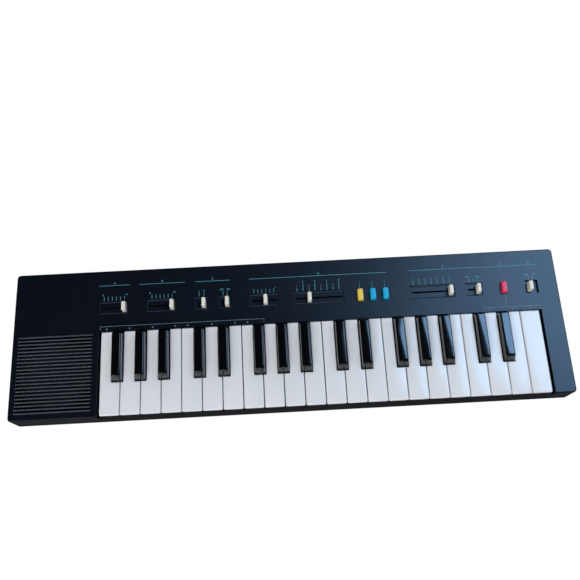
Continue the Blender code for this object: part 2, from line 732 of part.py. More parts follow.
def add_panel_holes(form):
    """Adds the levers' slots, the button holes, the screw bosses' bores and the jack opening."""
    half = SLOT_WIDTH / 2
    for _, first, last, _, _ in SLIDERS:
        x0, x1 = slider_span(first, last, LEVER_WIDTH / 2 + 2 * CLEARANCE)
        outline = rectangle(x0, x1, CONTROL_ROW_Y - half, CONTROL_ROW_Y + half)
        add_prism(form, outline, PANEL_UNDERSIDE - 2 * POWER_WELL_DEPTH, PANEL_HEIGHT)
    for _, x, _ in BUTTONS:
        half_x, half_y = BUTTON_WIDTH / 2 + CLEARANCE, BUTTON_LENGTH / 2 + CLEARANCE
        outline = rounded_rectangle(
            x - half_x, x + half_x, CONTROL_ROW_Y - half_y, CONTROL_ROW_Y + half_y,
            BUTTON_CORNER + CLEARANCE, 2)
        add_prism(form, outline, PANEL_UNDERSIDE - OVERLAP, PANEL_HEIGHT + OVERLAP)
    for place in BOSS_PLACES:
        add_prism(form, circle(place, SCREW_RADIUS, 8), PARTING_HEIGHT - OVERLAP, PANEL_UNDERSIDE - 2 * WALL)
    half = JACK_BLOCK_SIZE[0] / 2 - JACK_NOSE_INSET + CLEARANCE
    outline = rectangle(
        JACK_BLOCK_CENTRE - half, JACK_BLOCK_CENTRE + half, REAR - WALL - OVERLAP, REAR + OVERLAP)
    low = JACK_BLOCK_HEIGHT + JACK_NOSE_INSET - CLEARANCE
    add_prism(form, outline, low, low + JACK_BLOCK_SIZE[2] - 2 * JACK_NOSE_INSET + 2 * CLEARANCE)


def make_upper_case(material):
    """The upper moulding: control panel, cheeks beside the keys, grille, pockets, ribs and bosses."""
    edge = TOP_EDGE_RADIUS
    form = bmesh.new()
    rings = [level(case_outline(0), PARTING_HEIGHT + PARTING_GAP)]
    for dx, dz in arc((0, 0), edge, 180, 90, 2):
        rings.append(level(case_outline(edge + dx), PANEL_HEIGHT - edge + dz))
    add_loft(form, rings)
    item = make_object("upper_case", form, material)
    form = bmesh.new()
    add_prism(form, case_inner_plan(), 0, PANEL_UNDERSIDE)
    reshape(item, "DIFFERENCE", form)
    form = bmesh.new()
    lap = case_outline(WALL - LIP_THICKNESS - CLEARANCE)
    add_prism(form, lap, 0, PARTING_HEIGHT + LIP_HEIGHT + PARTING_GAP)
    reshape(item, "DIFFERENCE", form)
    form = bmesh.new()
    add_panel_supports(form)
    reshape(item, "UNION", form)
    form = bmesh.new()
    add_speaker_ring(form)
    reshape(item, "UNION", form)
    form = bmesh.new()
    well = rectangle(WELL_LEFT, WELL_RIGHT, FRONT - OVERLAP, WELL_REAR)
    add_prism(form, well, 0, PANEL_HEIGHT + OVERLAP)
    reshape(item, "DIFFERENCE", form)
    form = bmesh.new()
    add_grille_ribs(form)
    reshape(item, "UNION", form)
    for add_cut in (add_grille_slots, add_slider_pockets, add_panel_holes):
        form = bmesh.new()
        add_cut(form)
        reshape(item, "DIFFERENCE", form)
    return item


# Lower case

def base_edge():
    """Insets and heights of the rings that round the housing's lower edge."""
    radius = BASE_EDGE_RADIUS
    return [(radius + dx, FOOT_HEIGHT + radius + dz) for dx, dz in arc((0, 0), radius, 270, 180, 3)]


def add_base_body(form, top):
    rings = [level(case_outline(inset), z) for inset, z in base_edge()]
    add_loft(form, rings + [level(case_outline(0), top)])


def above_parting_plan():
    """Plan of what is cut away above the joint, all but the rail in front of the keys."""
    x0, x1, y0, y1 = LEFT - OVERLAP, RIGHT + OVERLAP, FRONT - OVERLAP, REAR + OVERLAP
    rail0, rail1, rail_y = WELL_LEFT + CLEARANCE, WELL_RIGHT - CLEARANCE, FRONT + RAIL_THICKNESS
    return [
        (x0, y0), (rail0, y0), (rail0, rail_y), (rail1, rail_y), (rail1, y0), (x1, y0), (x1, y1), (x0, y1)]


def add_base_supports(form):
    """Adds the screw bosses, the key frame's standoffs and the feet."""
    into = FLOOR_TOP - FLOOR_THICKNESS / 2
    for place in BOSS_PLACES:
        add_prism(form, circle(place, BOSS_RADIUS), into, PARTING_HEIGHT)
    for place in STANDOFF_PLACES:
        add_prism(form, circle(place, STANDOFF_RADIUS, 8), into, FRAME_HEIGHT - CLEARANCE)
    for x in (LEFT + FOOT_INSET_X, RIGHT - FOOT_INSET_X):
        for y in (FRONT + FOOT_INSET_Y, REAR - FOOT_INSET_Y):
            add_prism(form, circle((x, y), FOOT_RADIUS, 16), 0, FOOT_HEIGHT + FLOOR_THICKNESS / 3)


def add_bay_walls(form):
    """Adds the battery bay's box and the thicker floor round its cover."""
    into = FLOOR_TOP - FLOOR_THICKNESS / 2
    wall = BAY_WALL
    box = rectangle(BAY_LEFT - wall, BAY_RIGHT + wall, BAY_FRONT - wall, BAY_REAR + wall)
    add_prism(form, box, into, BAY_TOP + wall)


def add_bay_floor(form):
    into = FLOOR_TOP - FLOOR_THICKNESS / 2
    edge = COVER_BORDER + COVER_TONGUE + 2 * BAY_WALL
    pad = rectangle(BAY_LEFT - edge, BAY_RIGHT + edge, BAY_FRONT - edge, REAR - WALL / 2)
    add_prism(form, pad, into, COVER_TOP + CLEARANCE + BAY_WALL)


def cover_profile(gap):
    """Front view of the cover, as X and Z: a plate with a thin tongue along each side."""
    x0, x1 = BAY_LEFT - COVER_BORDER - gap, BAY_RIGHT + COVER_BORDER + gap
    tongue, top = COVER_TONGUE, COVER_TOP + gap
    ledge = COVER_TOP - COVER_TONGUE_THICKNESS - gap
    low = -OVERLAP
    return [(x0, low), (x1, low), (x1, ledge), (x1 + tongue, ledge), (x1 + tongue, top), (x0 - tongue, top),
            (x0 - tongue, ledge), (x0, ledge)]


def add_cover_bar(form, gap):
    front = BAY_FRONT - COVER_BORDER - gap
    rings = [[(x, y, z) for x, z in cover_profile(gap)] for y in (front, REAR + OVERLAP)]
    add_loft(form, rings)


def make_lower_case(material):
    """The lower moulding: tray, front rail, half-lap lip, battery bay, bosses and feet."""
    form = bmesh.new()
    add_base_body(form, RAIL_HEIGHT)
    item = make_object("lower_case", form, material)
    form = bmesh.new()
    add_prism(form, above_parting_plan(), PARTING_HEIGHT, PANEL_HEIGHT)
    reshape(item, "DIFFERENCE", form)
    form = bmesh.new()
    add_prism(form, case_outline(WALL - LIP_THICKNESS), PARTING_HEIGHT - OVERLAP, PARTING_HEIGHT + LIP_HEIGHT)
    reshape(item, "UNION", form)
    form = bmesh.new()
    add_loft(form, [
        level(case_outline(WALL + BASE_EDGE_RADIUS / 2), FLOOR_TOP),
        level(case_outline(WALL), FLOOR_TOP + BASE_EDGE_RADIUS / 2),
        level(case_outline(WALL), PANEL_HEIGHT),
    ])
    reshape(item, "DIFFERENCE", form)
    for add_solid in (add_base_supports, add_bay_floor, add_bay_walls):
        form = bmesh.new()
        add_solid(form)
        reshape(item, "UNION", form)
    form = bmesh.new()
    add_prism(form, rectangle(BAY_LEFT, BAY_RIGHT, BAY_FRONT, BAY_REAR), COVER_TOP, BAY_TOP)
    reshape(item, "DIFFERENCE", form)
    form = bmesh.new()
    add_cover_bar(form, CLEARANCE)
    reshape(item, "DIFFERENCE", form)
    form = bmesh.new()
    for place in BOSS_PLACES:
        shank, head = circle(place, SCREW_RADIUS + CLEARANCE), circle(place, SCREW_HEAD_RADIUS)
        seat = FOOT_HEIGHT + SCREW_HEAD_DEPTH
        add_loft(form, [
            level(head, FOOT_HEIGHT - OVERLAP), level(head, seat), level(shank, seat),
            level(shank, PARTING_HEIGHT + OVERLAP),
        ])
    reshape(item, "DIFFERENCE", form)
    return item


def make_battery_cover(material):
    """The cover follows the housing's rounded rear edge and has ridges for the thumb."""
    form = bmesh.new()
    add_cover_bar(form, 0)
    item = make_object("battery_cover", form, material)
    form = bmesh.new()
    add_base_body(form, PARTING_HEIGHT)
    reshape(item, "INTERSECT", form)
    form = bmesh.new()
    x = (BAY_LEFT + BAY_RIGHT) / 2
    y = (BAY_FRONT + BAY_REAR) / 2
    for i in range(GRIP_RIDGES):
        middle = y + (i - (GRIP_RIDGES - 1) / 2) * GRIP_PITCH
        half = GRIP_WIDTH / 2
        ridge = [(middle - half, FOOT_HEIGHT + GRIP_RISE), (middle + half, FOOT_HEIGHT + GRIP_RISE),
                 (middle + half / 2, FOOT_HEIGHT - GRIP_RISE), (middle - half / 2, FOOT_HEIGHT - GRIP_RISE)]
        add_bar(form, ridge, x - GRIP_LENGTH / 2, x + GRIP_LENGTH / 2)
    reshape(item, "UNION", form)
    return item


def make_battery_contact(material):
    """The plate that joins the two rows of cells, with a leaf bent towards each row."""
    x = BAY_RIGHT - CLEARANCE
    low, high = COVER_TOP + 3 * CLEARANCE, BAY_TOP - 2 * CLEARANCE
    form = bmesh.new()
    outline = rectangle(x - CONTACT_PLATE, x, BAY_FRONT + BAY_SIDE_ROOM, BAY_REAR - BAY_SIDE_ROOM)
    add_prism(form, outline, low, high)
    item = make_object("battery_contact", form, material)
    form = bmesh.new()
    middle, third = (low + high) / 2, (high - low) / 4
    reach = BAY_END_ROOM / 2
    for i in range(ROWS_OF_CELLS):
        y = BAY_FRONT + BAY_SIDE_ROOM / 2 + (i + 0.5) * CELL_DIAMETER
        face = x - CONTACT_PLATE / 2
        leaf = [(face, middle - third), (x - reach, middle), (face, middle + third)]
        half = CELL_DIAMETER / 5
        add_loft(form, [[(px, y - half, pz) for px, pz in leaf], [(px, y + half, pz) for px, pz in leaf]])
    reshape(item, "UNION", form)
    return item


# Parts behind the panel

def make_control_board(material):
    """The board with the sliders' metal cans, the button switches and the main chip soldered on it."""
    form = bmesh.new()
    plan = rectangle(BOARD_LEFT, BOARD_RIGHT, BOARD_FRONT, BOARD_FRONT + BOARD_DEPTH)
    add_prism(form, plan, BOARD_HEIGHT, BOARD_TOP)
    item = make_object("control_board", form, material)
    form = bmesh.new()
    into = BOARD_TOP - BOARD_THICKNESS / 2
    half = CAN_WIDTH / 2
    for _, first, last, _, _ in SLIDERS:
        x0, x1 = slider_span(first, last, CAN_MARGIN)
        add_prism(form, rectangle(x0, x1, CONTROL_ROW_Y - half, CONTROL_ROW_Y + half), into, CAN_TOP)
    switch_top = button_flange_low() - BUTTON_TRAVEL - CLEARANCE
    for _, x, _ in BUTTONS:
        plan = rectangle(x - half, x + half, CONTROL_ROW_Y - half, CONTROL_ROW_Y + half)
        add_prism(form, plan, into, switch_top)
    length, depth, height = CHIP_SIZE
    chip = rectangle(CHIP_X - length / 2, CHIP_X + length / 2, CHIP_Y - depth / 2, CHIP_Y + depth / 2)
    add_prism(form, chip, into, BOARD_TOP + height)
    reshape(item, "UNION", form)
    return item


def make_speaker(material):
    """Turned in one piece: rim, surround, cone and dust cap in front, basket and magnet behind."""
    top = PANEL_UNDERSIDE - SPEAKER_TOP_GAP
    bottom = top - SPEAKER_DEPTH
    radius = SPEAKER_RADIUS
    magnet_top = bottom + MAGNET_HEIGHT
    cap_radius = radius * 0.3
    profile = [
        (0, bottom), (MAGNET_RADIUS, bottom), (MAGNET_RADIUS, magnet_top),
        (MAGNET_RADIUS * 0.9, magnet_top + 0.001),
        (radius * 0.93, top - 0.0028), (radius, top - 0.0022), (radius, top),
        (radius * 0.93, top), (radius * 0.89, top - 0.0012), (radius * 0.84, top - 0.0008),
        (cap_radius, top - 0.0078), (cap_radius * 0.7, top - 0.0062), (0, top - 0.0052),
    ]
    form = bmesh.new()
    add_turned(form, profile, GRILLE_CENTRE, SPEAKER_STEPS, False)
    return make_object("speaker", form, material)


def make_jack_block(material):
    """The moulded block of the two sockets. Its nose fills the opening in the rear wall."""
    width, depth, height = JACK_BLOCK_SIZE
    rear = REAR - WALL - CLEARANCE
    low, inset = JACK_BLOCK_HEIGHT, JACK_NOSE_INSET

    def face(y, margin):
        x0, x1 = JACK_BLOCK_CENTRE - width / 2 + margin, JACK_BLOCK_CENTRE + width / 2 - margin
        z0, z1 = low + margin, low + height - margin
        return [(x0, y, z0), (x1, y, z0), (x1, y, z1), (x0, y, z1)]

    form = bmesh.new()
    add_loft(form, [face(rear - depth, 0), face(rear, 0), face(rear, inset), face(REAR - CLEARANCE, inset)])
    item = make_object("jack_block", form, material)
    form = bmesh.new()
    middle = low + height / 2
    for side in (-0.5, 0.5):
        bore = circle((JACK_BLOCK_CENTRE + side * JACK_PITCH, middle), JACK_RADIUS, JACK_STEPS)
        add_loft(form, [[(x, y, z) for x, z in bore] for y in (REAR - JACK_BORE_DEPTH, REAR + OVERLAP)])
    reshape(item, "DIFFERENCE", form)
    return item


# Controls

def slider_rest(first, last, share):
    return first + (last - first) * share


def make_slider(name, x, floor_depth, material):
    """A cap with rounded corners on the flat lever of its slider."""
    low = PANEL_HEIGHT - floor_depth + CLEARANCE
    top = PANEL_HEIGHT + CAP_RISE

    def cap(inset):
        half_x, half_y = CAP_WIDTH / 2 - inset, CAP_LENGTH / 2 - inset
        return rounded_rectangle(
            x - half_x, x + half_x, CONTROL_ROW_Y - half_y, CONTROL_ROW_Y + half_y, CAP_CORNER, 2)

    form = bmesh.new()
    rings = [level(cap(0), low), level(cap(CAP_DRAFT), top - CAP_EDGE)]
    add_loft(form, rings + [level(cap(CAP_DRAFT + CAP_EDGE), top)])
    item = make_object(name, form, material)
    form = bmesh.new()
    half_x, half_y = LEVER_WIDTH / 2, LEVER_THICKNESS / 2
    lever = rectangle(x - half_x, x + half_x, CONTROL_ROW_Y - half_y, CONTROL_ROW_Y + half_y)
    add_prism(form, lever, CAN_TOP + CLEARANCE, low + CAP_RISE / 2)
    reshape(item, "UNION", form)
    return item


def button_flange_low():
    return PANEL_UNDERSIDE - 2 * CLEARANCE - BUTTON_FLANGE_THICKNESS


def make_button(name, x, material):
    """A drafted push button with a flange that keeps it behind the panel."""
    flange_low = button_flange_low()
    flange_top = flange_low + BUTTON_FLANGE_THICKNESS
    top = PANEL_HEIGHT + BUTTON_RISE

    def plan(inset):
        half_x, half_y = BUTTON_WIDTH / 2 - inset, BUTTON_LENGTH / 2 - inset
        return rounded_rectangle(
            x - half_x, x + half_x, CONTROL_ROW_Y - half_y, CONTROL_ROW_Y + half_y, BUTTON_CORNER, 2)

    form = bmesh.new()
    add_loft(form, [
        level(plan(-BUTTON_FLANGE), flange_low),
        level(plan(-BUTTON_FLANGE), flange_top),
        level(plan(0), flange_top),
        level(plan(0), PANEL_HEIGHT),
        level(plan(BUTTON_DRAFT), top - BUTTON_EDGE),
        level(plan(BUTTON_DRAFT + BUTTON_EDGE), top),
    ])
    return make_object(name, form, material)


def make_controls(materials, parent):
    for name, first, last, _, share in SLIDERS:
        x = slider_rest(first, last, share)
        depth = POWER_WELL_DEPTH if name == "power_switch" else POCKET_DEPTH
        settle(make_slider(name, x, depth, materials["cap"]), (x, CONTROL_ROW_Y, PANEL_HEIGHT), parent)
    for name, x, colour in BUTTONS:
        settle(make_button(name, x, materials[colour]), (x, CONTROL_ROW_Y, PANEL_HEIGHT), parent)


def build():
    for old in list(bpy.data.objects):
        bpy.data.objects.remove(old, do_unlink=True)
    materials = make_materials()
    root = make_empty("portable_keyboard", (0, 0, 0))
    hinge_line = make_empty("key_hinge_line", (0, HINGE_Y, HINGE_HEIGHT), root)
    control_line = make_empty("control_line", (0, CONTROL_ROW_Y, PANEL_HEIGHT), root)
    settle(make_upper_case(materials["case"]), (0, 0, 0), root)
    settle(make_lower_case(materials["case"]), (0, 0, 0), root)
    cover_origin = ((BAY_LEFT + BAY_RIGHT) / 2, (BAY_FRONT + BAY_REAR) / 2, FOOT_HEIGHT)
    settle(make_battery_cover(materials["case"]), cover_origin, root)
    settle(make_battery_contact(materials["spring_steel"]), (0, 0, 0), root)
    settle(make_key_frame(materials["frame"]), (0, 0, 0), root)
    settle(make_contact_board(materials["board"]), (0, 0, 0), root)
    settle(make_contact_strip(materials["rubber"]), (0, 0, 0), root)
    settle(make_control_board(materials["board"]), (0, 0, 0), root)
    settle(make_speaker(materials["paper"]), (*GRILLE_CENTRE, 0), root)
    settle(make_jack_block(materials["jack"]), (0, 0, 0), root)
    make_keys(materials, hinge_line)
    make_controls(materials, control_line)


build()
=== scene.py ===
import json
import math

import bmesh
import bpy
from mathutils import Matrix, Vector

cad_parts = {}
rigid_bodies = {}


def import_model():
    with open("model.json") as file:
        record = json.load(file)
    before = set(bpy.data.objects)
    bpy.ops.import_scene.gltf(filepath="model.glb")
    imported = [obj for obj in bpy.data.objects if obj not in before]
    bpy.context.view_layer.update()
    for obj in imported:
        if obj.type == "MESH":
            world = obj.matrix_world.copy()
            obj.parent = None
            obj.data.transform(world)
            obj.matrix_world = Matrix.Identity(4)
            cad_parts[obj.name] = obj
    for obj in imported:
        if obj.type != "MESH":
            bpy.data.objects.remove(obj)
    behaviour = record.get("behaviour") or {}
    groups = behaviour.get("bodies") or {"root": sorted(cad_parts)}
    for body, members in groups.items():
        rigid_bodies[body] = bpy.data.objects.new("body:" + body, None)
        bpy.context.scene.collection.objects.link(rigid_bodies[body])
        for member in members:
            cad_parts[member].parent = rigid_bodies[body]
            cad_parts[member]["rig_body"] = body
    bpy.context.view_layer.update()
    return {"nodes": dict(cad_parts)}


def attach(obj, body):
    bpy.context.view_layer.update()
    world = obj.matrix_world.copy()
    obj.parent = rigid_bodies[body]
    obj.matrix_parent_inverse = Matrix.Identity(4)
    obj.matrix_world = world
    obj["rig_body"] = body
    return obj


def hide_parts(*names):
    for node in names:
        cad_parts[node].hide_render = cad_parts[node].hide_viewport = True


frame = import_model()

# Places in the frame, in metres
PANEL = 0.0340
WHITE_TOP = 0.0345
BLACK_TOP = 0.0435
ROW_Y = 0.0351  # the row of sliders and buttons
PRINT_RISE = 0.00003  # thickness of printing above the panel
GRILLE_CENTRE = (-0.2329, -0.0300)
GRILLE_RIBS = 22
GRILLE_PITCH = 0.0036
GRILLE_WIDTH = 0.0732
SCREW_SEAT = 0.0078  # depth at which the case screws' heads bear
SCREW_PLACES = (
    (-0.2640, 0.0655), (-0.1870, 0.0655), (0.0030, 0.0655), (0.1300, 0.0655), (0.2640, 0.0655),
    (-0.2660, -0.0655), (0.2640, -0.0655),
)
FOOT_PLACES = [(x, y) for x in (-0.2455, 0.2455) for y in (-0.0541, 0.0541)]
SOCKETS = (0.2145, 0.2305)
SOCKET_Z = 0.0218
SOCKET_Y = 0.0748


def linear(code):
    """An sRGB hex code as linear colour."""
    values = [int(code[i:i + 2], 16) / 255 for i in (0, 2, 4)]
    return [v / 12.92 if v <= 0.04045 else ((v + 0.055) / 1.055) ** 2.4 for v in values] + [1.0]


def add(tree, kind, inputs=None, **settings):
    """Adds a node, with its settings, and its inputs as values or as sockets to link."""
    node = tree.nodes.new(kind)
    for name, value in settings.items():
        setattr(node, name, value)
    for name, value in (inputs or {}).items():
        if isinstance(value, bpy.types.NodeSocket):
            tree.links.new(value, node.inputs[name])
        else:
            node.inputs[name].default_value = value
    return node


# Materials

def surface(name, code, roughness, other=None, spread=0.06, blotch=14.0, grain=700.0, grain_height=0.00001,
            edge=0.0, metallic=0.0, coat=0.0, stretch=(1, 1, 1)):
    """A moulded, turned or printed surface: slow change of tone and gloss, fine grain, and rounded edges."""
    material = bpy.data.materials.new(name)
    material.use_nodes = True
    tree = material.node_tree
    shader = tree.nodes["Principled BSDF"]
    shader.inputs["Metallic"].default_value = metallic
    shader.inputs["Coat Weight"].default_value = coat
    shader.inputs["Coat Roughness"].default_value = 0.12
    place = add(tree, "ShaderNodeTexCoord").outputs["Object"]
    place = add(tree, "ShaderNodeMapping", {"Vector": place, "Scale": stretch}).outputs["Vector"]
    slow = add(tree, "ShaderNodeTexNoise", {"Vector": place, "Scale": blotch, "Detail": 3.0}).outputs["Fac"]
    fine = add(tree, "ShaderNodeTexNoise", {"Vector": place, "Scale": grain, "Detail": 2.0}).outputs["Fac"]
    tone = add(tree, "ShaderNodeMix", {"Factor": slow}, data_type="RGBA")
    tone.inputs[6].default_value = linear(code)
    tone.inputs[7].default_value = linear(other or code)
    tree.links.new(tone.outputs[2], shader.inputs["Base Color"])
    low, high = max(roughness - spread, 0.03), roughness + spread
    gloss = add(tree, "ShaderNodeMapRange", {"Value": slow, "To Min": low, "To Max": high}).outputs["Result"]
    tree.links.new(gloss, shader.inputs["Roughness"])
    bump = add(tree, "ShaderNodeBump", {"Height": fine, "Strength": 0.5, "Distance": grain_height})
    if edge:
        rounded = add(tree, "ShaderNodeBevel", {"Radius": edge}, samples=4).outputs["Normal"]
        tree.links.new(rounded, bump.inputs["Normal"])
    tree.links.new(bump.outputs["Normal"], shader.inputs["Normal"])
    return material


MATERIALS = {
    # Dark navy satin that lifts to slate in soft light
    "case": surface("navy_moulded_abs_satin", "070A12", 0.34, "0A101C", 0.04, 9.0, 1500.0, 0.000014, 0.0004),
    # The same navy plastic, rougher in the pockets and painted lighter: a painted highlight along the pockets'
    # edges
    "pocket": surface("navy_abs_pocket_edge_painted_highlight", "2C3442", 0.55, "343D4C", 0.05, 60.0, 1500.0, 0.00002),
    "base": surface("navy_moulded_abs_coarse", "0A0B10", 0.50, "0E1117", 0.06, 12.0, 900.0, 0.00003, 0.0004),
    # Cool white that stays bright along its rounded front edges
    "white_key": surface("white_moulded_key_gloss", "E0E2E6", 0.26, "E4E6E9", 0.03, 26.0, 600.0, 0.000004,
                         coat=0.2),
    # Deep black with clear window-like highlights
    "black_key": surface("black_moulded_key_gloss", "040507", 0.13, "07080A", 0.04, 30.0, 500.0, 0.000004,
                         coat=0.3),
    "cap": surface("cream_moulded_cap_satin", "E6E3D4", 0.38, "EDEADF", 0.05, 60.0, 1600.0, 0.00001),
    "yellow": surface("yellow_moulded_button_satin", "EFCB52", 0.34, "F3D468", 0.05, 60.0, 1500.0, 0.00001),
    "blue": surface("blue_moulded_button_satin", "12A6D6", 0.34, "1CB4E0", 0.05, 60.0, 1500.0, 0.00001),
    "red": surface("red_moulded_button_satin", "DC3656", 0.34, "E44464", 0.05, 60.0, 1500.0, 0.00001),
    # Flat ink, a little chalky, that reads teal on the navy panel
    "ink": surface("teal_screen_printed_ink", "4FA9BE", 0.55, "6CBCCB", 0.05, 160.0, 2400.0, 0.000004),
    # The same ink drawn thin, which reads greyer beside the keys
    "pale_ink": surface("pale_screen_printed_ink", "6F8C9A", 0.55, "7F9CA8", 0.05, 160.0, 2400.0, 0.000004),
    # The grille ribs are the case's navy plastic painted grey: a painted highlight along their rounded tops
    "rib": surface("navy_grille_rib_painted_highlight_grey", "3A3F47", 0.24, "464C55", 0.05, 30.0, 1200.0, 0.000008),
    "frame": surface("grey_moulded_frame_matt", "3A3D42", 0.55, "44484E", 0.06, 20.0, 900.0, 0.00002, 0.0003),
    "rubber": surface("grey_moulded_silicone", "55585C", 0.72, "606468", 0.06, 40.0, 1200.0, 0.00002),
    "foot": surface("black_moulded_rubber_foot", "17181A", 0.80, "202224", 0.06, 60.0, 1500.0, 0.00003),
    "board": surface("brown_paper_laminate", "7A5A34", 0.58, "8A6A40", 0.06, 60.0, 600.0, 0.00002,
                     stretch=(1, 6, 1)),
    # The control board is painted nearly black instead of its own brown: painted shade where it shows through
    # the panel's slots
    "control": surface("control_board_painted_shade_black", "15110D", 0.62, "1E1812", 0.06, 60.0, 600.0, 0.00002),
    "paper": surface("black_pressed_speaker_paper", "18181A", 0.85, "232326", 0.05, 90.0, 500.0, 0.00005),
    "jack": surface("black_moulded_socket_plastic", "111214", 0.46, "18191B", 0.05, 60.0, 1200.0, 0.00001,
                    0.0002),
    # Brushed bright metal with streaks along one way
    "steel": surface("nickel_plated_steel", "B9B7B1", 0.28, "CFCDC7", 0.08, 90.0, 900.0, 0.000008, 0.0, 1.0,
                     stretch=(1, 9, 1)),
    "screw": surface("zinc_plated_steel_screw", "8E8F90", 0.34, "A8A9A6", 0.08, 300.0, 1500.0, 0.00001,
                     metallic=1.0),
}


# Meshes

def as_object(name, mesh, material):
    item = bpy.data.objects.new(name, mesh)
    bpy.context.scene.collection.objects.link(item)
    item.data.materials.clear()
    item.data.materials.append(material)
    return item


def shade(form, angle=35.0):
    """Smooth shading that stops at edges sharper than the angle."""
    for face in form.faces:
        face.smooth = True
    for edge in form.edges:
        edge.smooth = len(edge.link_faces) == 2 and edge.calc_face_angle(0) < math.radians(angle)


def from_form(name, form, material):
    bmesh.ops.recalc_face_normals(form, faces=form.faces)
    shade(form)
    mesh = bpy.data.meshes.new(name)
    form.to_mesh(mesh)
    form.free()
    return as_object(name, mesh, material)


def finer(node, name, material, above, width, segments=3):
    """A copy of a CAD node with its edges above a height rounded, which replaces that node."""
    form = bmesh.new()
    form.from_mesh(frame["nodes"][node].data)
    bmesh.ops.remove_doubles(form, verts=form.verts, dist=0.000003)
    bmesh.ops.dissolve_limit(form, angle_limit=math.radians(1.0), verts=form.verts, edges=form.edges)
    sharp = [
        e for e in form.edges
        if len(e.link_faces) == 2 and e.calc_face_angle(0) > math.radians(25)
        and min(v.co.z for v in e.verts) > above
    ]
    bmesh.ops.bevel(form, geom=sharp, offset=width, offset_type="OFFSET", segments=segments, profile=0.5,
                    affect="EDGES", clamp_overlap=True)
    item = from_form(name, form, material)
    body = frame["nodes"][node]["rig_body"]
    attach(item, body)
    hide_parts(node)
    return item


def loft(form, rings):
    """A closed skin through rings that have the same number of points."""
    rows = [[form.verts.new(p) for p in ring] for ring in rings]
    count = len(rows[0])
    for low, high in zip(rows, rows[1:]):
        for i in range(count):
            form.faces.new((low[i], low[(i + 1) % count], high[(i + 1) % count], high[i]))
    form.faces.new(rows[0][::-1])
    form.faces.new(rows[-1])


def slab(form, x0, x1, y0, y1, low=PANEL - 0.00002, high=PANEL + PRINT_RISE):
    loft(form, [[(x0, y0, z), (x1, y0, z), (x1, y1, z), (x0, y1, z)] for z in (low, high)])


def ring_points(radius, z, steps, centre=(0, 0)):
    return [(centre[0] + radius * math.cos(2 * math.pi * i / steps),
             centre[1] + radius * math.sin(2 * math.pi * i / steps), z) for i in range(steps)]


# Geometry Nodes

def tree_with(name, sockets):
    """An empty Geometry Nodes tree with named inputs, its input node, and the inputs' identifiers."""
    tree = bpy.data.node_groups.new(name, "GeometryNodeTree")
    tree.interface.new_socket("Geometry", in_out="INPUT", socket_type="NodeSocketGeometry")
    names = {}
    for label, kind, value in sockets:
        socket = tree.interface.new_socket(label, in_out="INPUT", socket_type=kind)
        if value is not None:
            socket.default_value = value
        names[label] = socket.identifier
    tree.interface.new_socket("Geometry", in_out="OUTPUT", socket_type="NodeSocketGeometry")
    return tree, add(tree, "NodeGroupInput"), names


def end_tree(tree, shape, material):
    """Ends a tree with Realize Instances and Set Material."""
    real = add(tree, "GeometryNodeRealizeInstances", {"Geometry": shape}).outputs["Geometry"]
    painted = add(tree, "GeometryNodeSetMaterial", {"Geometry": real, "Material": material})
    add(tree, "NodeGroupOutput", {"Geometry": painted.outputs["Geometry"]})


def scatter_tree():
    """Puts one shape on every point of a mesh, sized by the point's own "size" values."""
    tree, given, names = tree_with("shape_on_points", [
        ("Shape", "NodeSocketObject", None), ("Material", "NodeSocketMaterial", None)])
    shape = add(tree, "GeometryNodeObjectInfo", {"Object": given.outputs["Shape"]}).outputs["Geometry"]
    size = add(tree, "GeometryNodeInputNamedAttribute", {"Name": "size"}, data_type="FLOAT_VECTOR").outputs[0]
    placed = add(tree, "GeometryNodeInstanceOnPoints", {
        "Points": given.outputs["Geometry"], "Instance": shape, "Scale": size}).outputs["Instances"]
    end_tree(tree, placed, given.outputs["Material"])
    return tree, names


def grille_tree():
    """Evenly spaced ribs across the grille, each a line given a round section."""
    tree, given, names = tree_with("crowned_grille_ribs", [
        ("Count", "NodeSocketInt", GRILLE_RIBS), ("Pitch", "NodeSocketFloat", GRILLE_PITCH),
        ("Length", "NodeSocketFloat", GRILLE_WIDTH), ("Rib Radius", "NodeSocketFloat", 0.0008),
        ("Material", "NodeSocketMaterial", None)])
    half = add(tree, "ShaderNodeMath", {0: given.outputs["Length"], 1: -0.5}, operation="MULTIPLY").outputs[0]
    far = add(tree, "ShaderNodeMath", {0: given.outputs["Length"], 1: 0.5}, operation="MULTIPLY").outputs[0]
    start = add(tree, "ShaderNodeCombineXYZ", {"X": half}).outputs[0]
    end = add(tree, "ShaderNodeCombineXYZ", {"X": far}).outputs[0]
    line = add(tree, "GeometryNodeCurvePrimitiveLine", {"Start": start, "End": end}).outputs["Curve"]
    section = add(tree, "GeometryNodeCurvePrimitiveCircle", {
        "Resolution": 12, "Radius": given.outputs["Rib Radius"]}).outputs["Curve"]
    rib = add(tree, "GeometryNodeCurveToMesh", {"Curve": line, "Profile Curve": section, "Fill Caps": True})
    step = add(tree, "ShaderNodeCombineXYZ", {"Y": given.outputs["Pitch"]}).outputs[0]
    gaps = add(tree, "ShaderNodeMath", {0: given.outputs["Count"], 1: -1.0}, operation="ADD").outputs[0]
    span = add(tree, "ShaderNodeMath", {0: gaps, 1: given.outputs["Pitch"]}, operation="MULTIPLY").outputs[0]
    back = add(tree, "ShaderNodeMath", {0: span, 1: -0.5}, operation="MULTIPLY").outputs[0]
    first = add(tree, "ShaderNodeCombineXYZ", {"Y": back}).outputs[0]
    row = add(tree, "GeometryNodeMeshLine", {
        "Count": given.outputs["Count"], "Start Location": first, "Offset": step}, mode="OFFSET")
    placed = add(tree, "GeometryNodeInstanceOnPoints", {
        "Points": row.outputs["Mesh"], "Instance": rib.outputs["Mesh"]})
    end_tree(tree, placed.outputs["Instances"], given.outputs["Material"])
    return tree, names


